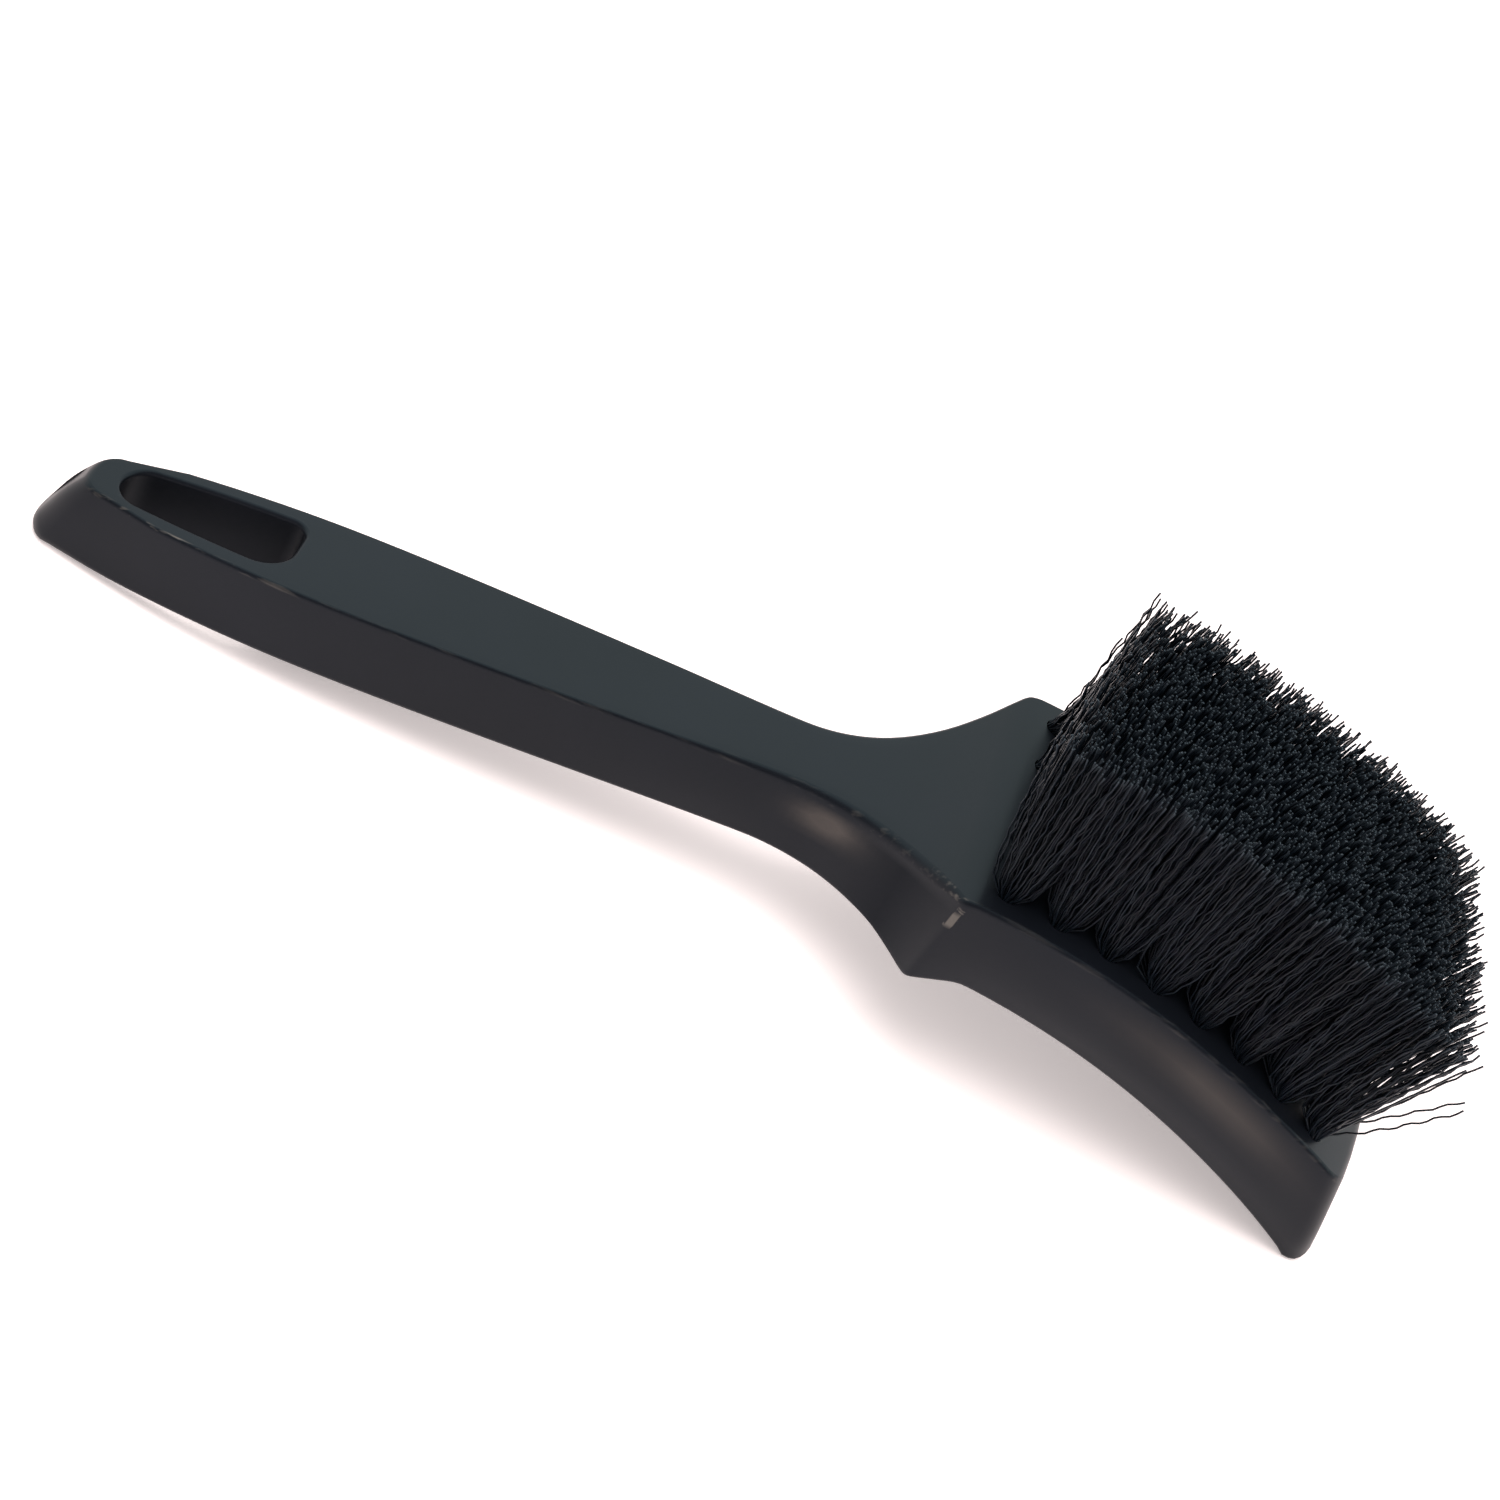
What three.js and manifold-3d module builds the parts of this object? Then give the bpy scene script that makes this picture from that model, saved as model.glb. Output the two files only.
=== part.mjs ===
// Tyre and wheel brush: a one-piece moulded handle and block, five rows of bristle tufts, and the flat wire
// anchors that hold the folded tufts in their drilled holes.
// Millimetres. +X runs from the tail of the handle to the toe of the block, +Y across it, +Z up the bristles.
// The brush lies on its back: the heel of the handle and the toe of the block touch the plane z = 0.
import * as THREE from "three";
import { mergeVertices } from "three/addons/utils/BufferGeometryUtils.js";
import Module from "manifold-3d";

const wasm = await Module();
wasm.setup();

// Handle, measured from the tail
const HANDLE_LENGTH = 164.5; // tail to shoulder
const HANDLE_WIDTH = 22.2; // at its widest place
const HANDLE_WIDEST_AT = 53; // from the tail
const HANDLE_THICKNESS = 14.8; // top face to underside, measured upright
const HANDLE_RISE = 0.108; // climb of the handle per millimetre of its length
const TAIL_WIDTH = 10.8;
const TAIL_CORNER = 4.4; // corner radius of the tail, seen from above
const TAIL_LEAN = THREE.MathUtils.degToRad(21); // the tail end leans in towards its top
const TAIL_BLEND = 20; // length over which the lean fades out
const HEEL_RADIUS = 3.2; // rounding under the tail, where the handle rests

// Neck, between the handle and the shoulder
const NECK_WIDTH = 16.7;
const NECK_LENGTH = 33.5; // from its narrowest place to the shoulder
const NECK_SLOPE = 0.6; // climb of the neck where it meets the block
const FLARE_SLOPE = 1.3; // outward slope of the neck's sides at the shoulder
const SHOULDER_DROP = 20.6; // shoulder corner under the block, below the top of the shoulder

// Block, a slab bent to an arc
const HEAD_WIDTH = 60;
const HEAD_HEIGHT = 39.3; // highest line of its top face
const HEAD_RADIUS = 144.6; // of the top face
const HEAD_THICKNESS = 16.9;
const CROWN_AT = 5; // highest line, beyond the shoulder
const TOE_INSET = 1.6; // each side of the block narrows by this much at the toe
const TOE_TAPER = 36; // length over which it narrows
const TOE_CORNER = 3.8; // corner radius of the toe, seen from above
const TOE_RADIUS = 3; // rounding under the toe, where the block rests
const TOE_LEAN = THREE.MathUtils.degToRad(6);
const TOE_BOW = 130; // radius of the bowed toe end, seen from above
const TOE_BLEND = 20; // length over which the bow fades out
const BOW_STEPS = 12;

// Hanging eye
const EYE_START = 11.5; // from the tail
const EYE_LENGTH = 31.1;
const EYE_WALL = 2.8; // beside its narrow end
const EYE_WALL_WIDE = 3.7; // beside its wide end
const EYE_NOSE = 5; // length of its rounded narrow end
const EYE_CORNER = 4;

// Tufts, in straight rows along the block
const ROWS = 5;
const TUFTS_IN_ROW = 8;
const SIDE_MARGIN = 6; // outer rows, from the sides of the block
const SHOULDER_MARGIN = 6.3; // first tuft, from the shoulder, along the arc
const TOE_MARGIN = 11.6; // last tuft, from the toe, along the arc
const HOLE_RADIUS = 2.2;
const HOLE_DEPTH = 11;
const BRISTLE_LENGTH = 31; // free of the block
const TUFT_COLLAR = 0.6; // height at which the bristles begin to spread
const ROUND_SIDES = 8; // of a hole and of a tuft

// Anchors
const ANCHOR_BITE = 0.6; // each end of an anchor runs this far into the wall of its hole
const ANCHOR_HEIGHT = 2.2;
const ANCHOR_THICKNESS = 0.5;
const BEND_DEPTH = 1.5; // folded bristles below the anchor
const ANCHORED_ROWS = [0, ROWS - 1]; // rows whose anchors are modelled here

// Clearances
const FIT_GAP = 0.3; // tuft to hole, and anchor to tuft and block
const TIP_GAP = 1.7; // between the trimmed tips of neighbouring tufts
const OVERRUN = 2; // cutters and blanks run past the faces they cut
const ON_ARC = 0.01; // a point this near the arc of the top face lies on it

const SHOULDER_X = HANDLE_LENGTH;
const CROWN_X = SHOULDER_X + CROWN_AT;
const NECK_X = SHOULDER_X - NECK_LENGTH;
const ARC_CENTRE = new THREE.Vector2(CROWN_X, HEAD_HEIGHT - HEAD_RADIUS);
const UNDER_RADIUS = HEAD_RADIUS - HEAD_THICKNESS;
const SHOULDER_ANGLE = Math.asin((SHOULDER_X - CROWN_X) / HEAD_RADIUS);
const ANCHOR_LENGTH = 2 * (HOLE_RADIUS + ANCHOR_BITE);

const plastic = new THREE.MeshStandardMaterial({ color: 0x2b2e30, roughness: 0.5, metalness: 0 });
const nylon = new THREE.MeshStandardMaterial({ color: 0x0d0d0f, roughness: 0.6, metalness: 0 });
const steel = new THREE.MeshStandardMaterial({ color: 0x9a9c9f, roughness: 0.35, metalness: 1 });

// Closed three.js geometry to a solid that can be cut and joined.
function solidFrom(geometry) {
  const bare = geometry.clone();
  bare.deleteAttribute("normal");
  bare.deleteAttribute("uv");
  const merged = mergeVertices(bare, 1e-4);
  return new wasm.Manifold(
    new wasm.Mesh({
      numProp: 3,
      vertProperties: new Float32Array(merged.attributes.position.array),
      triVerts: new Uint32Array(merged.index.array),
    }),
  );
}

function geometryFrom(solid) {
  const mesh = solid.getMesh();
  const geometry = new THREE.BufferGeometry();
  geometry.setAttribute("position", new THREE.BufferAttribute(mesh.vertProperties, 3));
  geometry.setIndex(new THREE.BufferAttribute(mesh.triVerts, 1));
  geometry.computeVertexNormals();
  return geometry;
}

function extrude(shape, depth, curveSegments, steps = 1) {
  return new THREE.ExtrudeGeometry(shape, { depth, curveSegments, steps, bevelEnabled: false });
}

// Side view, in x and z.
const handleUnderside = (x) => {
  const drop = HEEL_RADIUS * Math.hypot(1, HANDLE_RISE);
  return HEEL_RADIUS - drop + HANDLE_RISE * (x - HEEL_RADIUS);
};
const handleTop = (x) => handleUnderside(x) + HANDLE_THICKNESS;
const arcPoint = (radius, angle) =>
  new THREE.Vector2(Math.sin(angle), Math.cos(angle)).multiplyScalar(radius).add(ARC_CENTRE);

// Foot of the leaning tail face on the heel rounding, and its corner on the top face.
function tailFace() {
  const foot = new THREE.Vector2(-Math.cos(TAIL_LEAN), Math.sin(TAIL_LEAN));
  foot.multiplyScalar(HEEL_RADIUS).addScalar(HEEL_RADIUS);
  const climb = Math.cos(TAIL_LEAN) - HANDLE_RISE * Math.sin(TAIL_LEAN);
  const length = (handleTop(foot.x) - foot.y) / climb;
  const corner = new THREE.Vector2(Math.sin(TAIL_LEAN), Math.cos(TAIL_LEAN)).multiplyScalar(length).add(foot);
  return { foot, corner };
}

// Centre of the toe rounding, which touches z = 0 and the arc of the underside.
function toeCentre() {
  const reach = UNDER_RADIUS + TOE_RADIUS;
  const rise = TOE_RADIUS - ARC_CENTRE.y;
  return new THREE.Vector2(ARC_CENTRE.x + Math.sqrt(reach ** 2 - rise ** 2), TOE_RADIUS);
}
const TOE_X = toeCentre().x + TOE_RADIUS;

// Angle on the arc of the top face at which the leaning toe face meets it.
function toeAngle() {
  const foot = new THREE.Vector2(Math.cos(TOE_LEAN), Math.sin(TOE_LEAN));
  foot.multiplyScalar(TOE_RADIUS).add(toeCentre()).sub(ARC_CENTRE);
  const up = new THREE.Vector2(-Math.sin(TOE_LEAN), Math.cos(TOE_LEAN));
  const along = foot.dot(up);
  const length = Math.sqrt(along ** 2 + HEAD_RADIUS ** 2 - foot.lengthSq()) - along;
  foot.addScaledVector(up, length);
  return Math.atan2(foot.x, foot.y);
}

function sideOutline() {
  const { foot, corner } = tailFace();
  const toe = toeCentre();
  const toeFrom = Math.atan2(ARC_CENTRE.y - toe.y, ARC_CENTRE.x - toe.x);
  const underEnd = Math.PI + toeFrom;
  const shoulder = arcPoint(HEAD_RADIUS, SHOULDER_ANGLE);
  const underShoulder = arcPoint(UNDER_RADIUS, SHOULDER_ANGLE / 2);
  const neckRun = NECK_LENGTH / 3;

  const outline = new THREE.Shape();
  outline.moveTo(foot.x, foot.y);
  outline.absarc(HEEL_RADIUS, HEEL_RADIUS, HEEL_RADIUS, Math.PI - TAIL_LEAN, Math.PI * 1.5, false);
  outline.lineTo(NECK_X, handleUnderside(NECK_X));
  outline.bezierCurveTo(
    NECK_X + neckRun,
    handleUnderside(NECK_X + neckRun / 2),
    SHOULDER_X - neckRun,
    handleUnderside(SHOULDER_X - neckRun),
    SHOULDER_X - CROWN_AT / 4,
    shoulder.y - SHOULDER_DROP,
  );
  outline.lineTo(underShoulder.x, underShoulder.y);
  outline.absarc(ARC_CENTRE.x, ARC_CENTRE.y, UNDER_RADIUS, Math.PI / 2 - SHOULDER_ANGLE / 2, underEnd, true);
  outline.absarc(toe.x, toe.y, TOE_RADIUS, toeFrom, TOE_LEAN, false);
  outline.absarc(
    ARC_CENTRE.x,
    ARC_CENTRE.y,
    HEAD_RADIUS,
    Math.PI / 2 - toeAngle(),
    Math.PI / 2 - SHOULDER_ANGLE,
    false,
  );
  outline.bezierCurveTo(
    SHOULDER_X - neckRun,
    shoulder.y - neckRun * NECK_SLOPE,
    NECK_X + neckRun,
    handleTop(NECK_X + neckRun),
    NECK_X,
    handleTop(NECK_X),
  );
  outline.lineTo(corner.x, corner.y);
  return outline;
}

// Half width of the handle from the tail to its widest place: a parabola.
const handleHalf = (x) => {
  const fromWidest = (HANDLE_WIDEST_AT - x) / (HANDLE_WIDEST_AT - TAIL_CORNER);
  return HANDLE_WIDTH / 2 - ((HANDLE_WIDTH - TAIL_WIDTH) / 2) * fromWidest ** 2;
};

// One side of the plan view, from the tail to the toe.
function planSide() {
  const taper = NECK_X - HANDLE_WIDEST_AT;
  const neckRun = NECK_LENGTH / 3;
  const side = new THREE.Path();
  side.moveTo(0, TAIL_WIDTH / 2 - TAIL_CORNER);
  side.absarc(TAIL_CORNER, TAIL_WIDTH / 2 - TAIL_CORNER, TAIL_CORNER, Math.PI, Math.PI / 2, true);
  side.quadraticCurveTo(
    (TAIL_CORNER + HANDLE_WIDEST_AT) / 2,
    HANDLE_WIDTH / 2,
    HANDLE_WIDEST_AT,
    HANDLE_WIDTH / 2,
  );
  side.bezierCurveTo(
    HANDLE_WIDEST_AT + taper * 0.35,
    HANDLE_WIDTH / 2,
    NECK_X - taper * 0.17,
    NECK_WIDTH / 2,
    NECK_X,
    NECK_WIDTH / 2,
  );
  side.bezierCurveTo(
    NECK_X + neckRun * 1.25,
    NECK_WIDTH / 2,
    SHOULDER_X - neckRun * 0.9,
    HEAD_WIDTH / 2 - neckRun * 0.9 * FLARE_SLOPE,
    SHOULDER_X,
    HEAD_WIDTH / 2,
  );
  const toeHalf = HEAD_WIDTH / 2 - TOE_INSET;
  side.lineTo(TOE_X - TOE_TAPER, HEAD_WIDTH / 2);
  side.quadraticCurveTo(TOE_X - TOE_TAPER / 2, HEAD_WIDTH / 2, TOE_X - TOE_CORNER, toeHalf);
  side.absarc(TOE_X - TOE_CORNER, toeHalf - TOE_CORNER, TOE_CORNER, Math.PI / 2, 0, true);
  return side.getPoints(8);
}

function planOutline() {
  const side = planSide();
  const mirrored = side.map((p) => new THREE.Vector2(p.x, -p.y)).reverse();
  return new THREE.Shape([...side, ...mirrored]);
}

// The tail's outline moves towards the block as it climbs, so its rounded end leans.
function leanTail(geometry) {
  const position = geometry.attributes.position;
  for (let i = 0; i < position.count; i++) {
    const fade = Math.max(0, 1 - position.getX(i) / TAIL_BLEND);
    const lean = Math.tan(TAIL_LEAN) * (position.getZ(i) - HEEL_RADIUS) * fade;
    position.setX(i, position.getX(i) + lean);
  }
  return geometry;
}

// The toe end is bowed: away from the middle it stands back, and the top face keeps to its arc.
function bowToe(geometry) {
  const position = geometry.attributes.position;
  for (let i = 0; i < position.count; i++) {
    const x = position.getX(i);
    const fade = Math.max(0, 1 - (TOE_X - x) / TOE_BLEND);
    const bowed = x - (position.getY(i) ** 2 / (2 * TOE_BOW)) * fade;
    const reach = Math.hypot(x - ARC_CENTRE.x, position.getZ(i) - ARC_CENTRE.y);
    if (fade > 0 && reach > HEAD_RADIUS - ON_ARC) {
      position.setZ(i, ARC_CENTRE.y + Math.sqrt(HEAD_RADIUS ** 2 - (bowed - ARC_CENTRE.x) ** 2));
    }
    position.setX(i, bowed);
  }
  return geometry;
}

// The eye narrows towards the tail, where its end is rounded; the wall beside it thickens towards its wide end.
function eyeOutline() {
  const noseX = EYE_START + EYE_NOSE;
  const endX = EYE_START + EYE_LENGTH;
  const half = (x) => {
    const alongEye = (x - noseX) / (endX - noseX);
    return handleHalf(x) - EYE_WALL - (EYE_WALL_WIDE - EYE_WALL) * alongEye;
  };
  const cornerX = endX - EYE_CORNER;
  const side = new THREE.Path();
  side.moveTo(EYE_START, 0);
  side.absellipse(noseX, 0, EYE_NOSE, half(noseX), Math.PI, Math.PI / 2, true);
  side.lineTo((noseX + cornerX) / 2, half((noseX + cornerX) / 2));
  side.lineTo(cornerX, half(cornerX));
  side.absarc(cornerX, half(cornerX) - EYE_CORNER, EYE_CORNER, Math.PI / 2, 0, true);
  const upper = side.getPoints(6);
  const lower = upper.slice(1).map((p) => new THREE.Vector2(p.x, -p.y)).reverse();
  return new THREE.Shape([...upper, ...lower]);
}

// The rows share the width of the block, and the tufts of a row share the arc from shoulder to toe.
const ROW_PITCH = (HEAD_WIDTH - 2 * SIDE_MARGIN) / (ROWS - 1);
const FIRST_ANGLE = SHOULDER_ANGLE + SHOULDER_MARGIN / HEAD_RADIUS;
const TUFT_ANGLE = (toeAngle() - TOE_MARGIN / HEAD_RADIUS - FIRST_ANGLE) / (TUFTS_IN_ROW - 1);

// Places of the tufts: row, number in the row, and a group turned so that its +Z leaves the block squarely.
function tuftPlaces() {
  const places = [];
  for (let row = 0; row < ROWS; row++) {
    for (let number = 0; number < TUFTS_IN_ROW; number++) {
      const angle = FIRST_ANGLE + number * TUFT_ANGLE;
      const root = arcPoint(HEAD_RADIUS, angle);
      const group = new THREE.Group();
      group.position.set(root.x, (row - (ROWS - 1) / 2) * ROW_PITCH, root.y);
      group.rotation.y = angle;
      group.updateMatrixWorld();
      places.push({ row, number, group });
    }
  }
  return places;
}

function anchorBox(gap) {
  const box = new THREE.BoxGeometry(ANCHOR_THICKNESS + gap, ANCHOR_LENGTH + gap, ANCHOR_HEIGHT + gap);
  return box.translate(0, 0, BEND_DEPTH + FIT_GAP + ANCHOR_HEIGHT / 2 - HOLE_DEPTH);
}

function holeCutter() {
  const height = HOLE_DEPTH + OVERRUN;
  const hole = new THREE.CylinderGeometry(HOLE_RADIUS, HOLE_RADIUS, height, ROUND_SIDES);
  hole.rotateX(Math.PI / 2).translate(0, 0, OVERRUN - height / 2);
  return solidFrom(hole).add(solidFrom(anchorBox(2 * FIT_GAP)));
}

function handleBlock(places) {
  const upright = HEAD_HEIGHT + 2 * OVERRUN;
  const plan = leanTail(extrude(planOutline(), upright, 8).translate(0, 0, -OVERRUN));
  const side = extrude(sideOutline(), HEAD_WIDTH + 2 * OVERRUN, 10, BOW_STEPS);
  side.rotateX(Math.PI / 2).translate(0, HEAD_WIDTH / 2 + OVERRUN, 0);
  bowToe(side);
  const eye = extrude(eyeOutline(), upright, 6).translate(0, 0, -OVERRUN);
  let block = solidFrom(plan).intersect(solidFrom(side)).subtract(solidFrom(eye));
  const hole = holeCutter();
  for (const { group } of places) {
    block = block.subtract(hole.transform(group.matrixWorld.elements));
  }
  return named("handle_block", geometryFrom(block), plastic);
}

// A tuft is a bundle folded round its anchor: straight in the hole, then spreading to its trimmed tips.
function tuftGeometry() {
  const shank = HOLE_RADIUS - FIT_GAP;
  const tipPitch = Math.min(TUFT_ANGLE * (HEAD_RADIUS + BRISTLE_LENGTH), ROW_PITCH);
  const spread = (tipPitch - TIP_GAP) / 2;
  const profile = [
    new THREE.Vector2(0, FIT_GAP - HOLE_DEPTH),
    new THREE.Vector2(shank, FIT_GAP - HOLE_DEPTH),
    new THREE.Vector2(shank, TUFT_COLLAR),
    new THREE.Vector2(spread, BRISTLE_LENGTH),
    new THREE.Vector2(0, BRISTLE_LENGTH),
  ];
  const bundle = new THREE.LatheGeometry(profile, ROUND_SIDES).rotateX(Math.PI / 2);
  return geometryFrom(solidFrom(bundle).subtract(solidFrom(anchorBox(2 * FIT_GAP))));
}

function named(name, geometry, material) {
  const mesh = new THREE.Mesh(geometry, material);
  mesh.name = name;
  return mesh;
}

function wheelBrush() {
  const brush = new THREE.Group();
  const places = tuftPlaces();
  const tuft = tuftGeometry();
  const anchor = anchorBox(0);
  brush.add(handleBlock(places));
  for (const { row, number, group } of places) {
    const label = `row${row + 1}_${number + 1}`;
    group.add(named(`tuft_${label}`, tuft, nylon));
    if (ANCHORED_ROWS.includes(row)) group.add(named(`anchor_${label}`, anchor, steel));
    brush.add(group);
  }
  // The origin is under the middle of the whole brush, on the plane it lies on.
  const box = new THREE.Box3().setFromObject(brush, true);
  brush.position.x = -(box.min.x + box.max.x) / 2;
  return brush;
}

export default wheelBrush();
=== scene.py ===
# Wheel brush: a satin black moulding with a hanging eye, forty tufts of crimped black filament,
# and the flat wire anchors inside the block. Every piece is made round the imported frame.
import math

import bmesh
import bpy
import numpy as np
from mathutils import Matrix, Vector


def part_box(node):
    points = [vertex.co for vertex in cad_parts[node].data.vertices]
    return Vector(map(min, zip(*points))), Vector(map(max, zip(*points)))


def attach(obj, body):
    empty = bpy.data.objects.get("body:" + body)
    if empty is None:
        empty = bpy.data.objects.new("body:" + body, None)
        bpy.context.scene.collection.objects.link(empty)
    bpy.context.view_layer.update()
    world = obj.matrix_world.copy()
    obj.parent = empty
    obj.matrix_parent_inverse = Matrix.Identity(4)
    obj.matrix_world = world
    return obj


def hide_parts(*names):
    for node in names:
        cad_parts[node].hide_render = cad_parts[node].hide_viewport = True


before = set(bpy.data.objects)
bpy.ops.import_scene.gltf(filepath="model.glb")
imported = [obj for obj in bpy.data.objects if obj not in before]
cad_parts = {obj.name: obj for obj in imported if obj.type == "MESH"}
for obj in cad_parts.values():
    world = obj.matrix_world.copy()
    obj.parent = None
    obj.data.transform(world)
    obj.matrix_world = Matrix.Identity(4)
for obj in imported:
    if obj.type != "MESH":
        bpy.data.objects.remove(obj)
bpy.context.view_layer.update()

MM = 0.001

# ---------------------------------------------------------------- sizes, in millimetres from the tail
BLOCK_LOW, BLOCK_HIGH = (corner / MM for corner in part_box("handle_block"))
TAIL_X = BLOCK_LOW.x
LENGTH = BLOCK_HIGH.x - TAIL_X
HEAD_HALF = BLOCK_HIGH.y
CROWN_Z = BLOCK_HIGH.z

RISE = 0.108  # climb of the handle per millimetre
THICKNESS = 14.8
WIDEST_X, WIDEST_HALF = 53, 11.1
TAIL_HALF, TAIL_CORNER = 5.7, 4.4
HEEL_RADIUS = 3.2
TAIL_LEAN, TOE_LEAN = math.tan(math.radians(23)), math.tan(math.radians(6))
LEAN_FADE = 20
SHOULDER_X, CROWN_X = 164.5, 169.5
NECK_X, NECK_HALF = 131, 8.35
NECK_SLOPE, FLARE_SLOPE = 0.6, 1.3
SHOULDER_DROP = 21.2
LIP_END = SHOULDER_X + 6.5  # the lip under the shoulder runs out here
HEAD_RADIUS, HEAD_THICKNESS = 144.6, 16.9
TOE_INSET, TOE_TAPER, TOE_CORNER, TOE_RADIUS = 1.4, 36, 3.5, 3
TOE_BULGE, TAIL_BULGE = 130, 18  # radii of the two ends in plan
ARC_Z = CROWN_Z - HEAD_RADIUS
UNDER_RADIUS = HEAD_RADIUS - HEAD_THICKNESS

TOP_EDGE, NECK_EDGE = 0.8, 1.9  # rounding where the top face meets the sides
BACK_EDGE = 1.2  # rounding under the hand
# The sides close in towards the back by this share of their height, so the moulding leaves its tool.
SIDE_DRAFT, HEAD_DRAFT = 0.01, 0.05
FULLER = 0.45  # the sides stand this far out, to make up for the roundings
CURL, CURL_FROM, CURL_RISE = 1.6, 8, 7  # the tail bends back by this, from this height, over this rise
TOE_SET_OUT = 0.5  # the end of the block stands this much further out
BULGE_AT_FOOT, BULGE_FULL_Z = 0.3, 19  # share of the toe's bulge at its foot, and height where it is full
SHOULDER_LEAN, SHOULDER_REACH = 0.09, 10  # the crease at the shoulder leans, and drags its surroundings

# Values at places along the brush: rounding of the ridge, and bulge of the sides between their edges.
RIDGE_ROUNDING = {110: TOP_EDGE, 145: NECK_EDGE, 160: NECK_EDGE, SHOULDER_X + 2: 1}
SIDE_SWELL = {0: 0.1, 95: 0.15, 122: 0.6, 142: 0.1, 160: 0, 174: 0.7, 190: 1.2}

# Middle and spread of each place: the rubbed ridge by the tail, the painted glint at the shoulder, the
# painted highlights on the neck and the block, and the matt hollow.
RUBBED_RIDGE_X, RUBBED_RIDGE_SPREAD = 22, 16
SHOULDER_GLINT_SPREAD = 3
SHEEN_NECK_X, SHEEN_NECK_SPREAD = 141, 5
SHEEN_BLOCK_X, SHEEN_BLOCK_SPREAD = 216, 17
MATT_HOLLOW_X, MATT_HOLLOW_REACH = 155, 12
SHOULDER_GLINT = 2.4  # ridge value of the painted glint down the shoulder's edge, drawn without gaps

EYE_START, EYE_END, EYE_NOSE = 11.5, 42.6, 5
EYE_CORNER, EYE_CORNER_NEAR = 3.2, 6
EYE_WALL, EYE_WALL_WIDE = 2.8, 3.7  # beside its narrow and its wide end
EYE_EDGE, EYE_EDGE_NEAR = 0.9, 0.4  # rounding of the rim, on the far side and on the near side
EYE_CLEAR, RIDGE_REACH = 2, 1.5  # rubs of the ridge stay this far past the eye, and this near the side

HOLE_RADIUS, HOLE_DEPTH = 2.2, 11
DRILL_PROUD = 3
BRISTLE_LENGTH = 31
BRISTLE_LONG, BRISTLE_SHORT = 31, 30  # trimmed length at the shoulder and at the toe
# Tips of the first and of the last tuft of each row stand off their roots by this, towards the toe.
FIRST_LEAN, LAST_LEAN = (1, 2.5, 4.5, 7, 9.5), (-5, -5, -5, -7, -9)
GATHER = 1.5  # tips of each row lean this much further inwards than those of the next row in
ROWS, TUFTS_IN_ROW = 5, 8
ANCHOR_SIZE = (0.5, 5.6, 2.2)
ANCHOR_DEPTH = 8.1  # middle of an anchor, under the face of the block


# ---------------------------------------------------------------- materials
def colour(text):
    """sRGB hex to the linear RGBA that shaders take."""
    channels = [int(text[i : i + 2], 16) / 255 for i in (1, 3, 5)]
    linear = [c / 12.92 if c <= 0.04045 else ((c + 0.055) / 1.055) ** 2.4 for c in channels]
    return (*linear, 1)


def add(tree, kind, inputs=None, **settings):
    """Adds a node: settings are its properties, inputs are values or sockets by name or number."""
    made = tree.nodes.new(kind)
    for name, value in settings.items():
        setattr(made, name, value)
    for name, value in (inputs or {}).items():
        if isinstance(value, bpy.types.NodeSocket):
            tree.links.new(value, made.inputs[name])
        else:
            made.inputs[name].default_value = value
    return made


def new_material(name):
    """An empty node material with its shader in place."""
    material = bpy.data.materials.new(name)
    material.use_nodes = True
    tree = material.node_tree
    tree.nodes.clear()
    shader = add(tree, "ShaderNodeBsdfPrincipled")
    add(tree, "ShaderNodeOutputMaterial", {"Surface": shader.outputs["BSDF"]})
    return material, tree, shader


def ramp(tree, factor, low, high, dark, light):
    """Colour that runs from dark to light as factor goes from low to high."""
    made = add(tree, "ShaderNodeValToRGB", {"Fac": factor})
    made.color_ramp.elements[0].position = low
    made.color_ramp.elements[1].position = high
    made.color_ramp.elements[0].color = dark
    made.color_ramp.elements[1].color = light
    return made.outputs["Color"]


def attribute(tree, name):
    """A value that the mesh carries at each of its points."""
    return add(tree, "ShaderNodeAttribute", attribute_name=name).outputs["Fac"]


def blend(tree, factor, low, high):
    """Colour that goes from low to high with factor."""
    inputs = {"Factor": factor, "A": low, "B": high}
    return add(tree, "ShaderNodeMix", inputs, data_type="RGBA").outputs["Result"]


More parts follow.
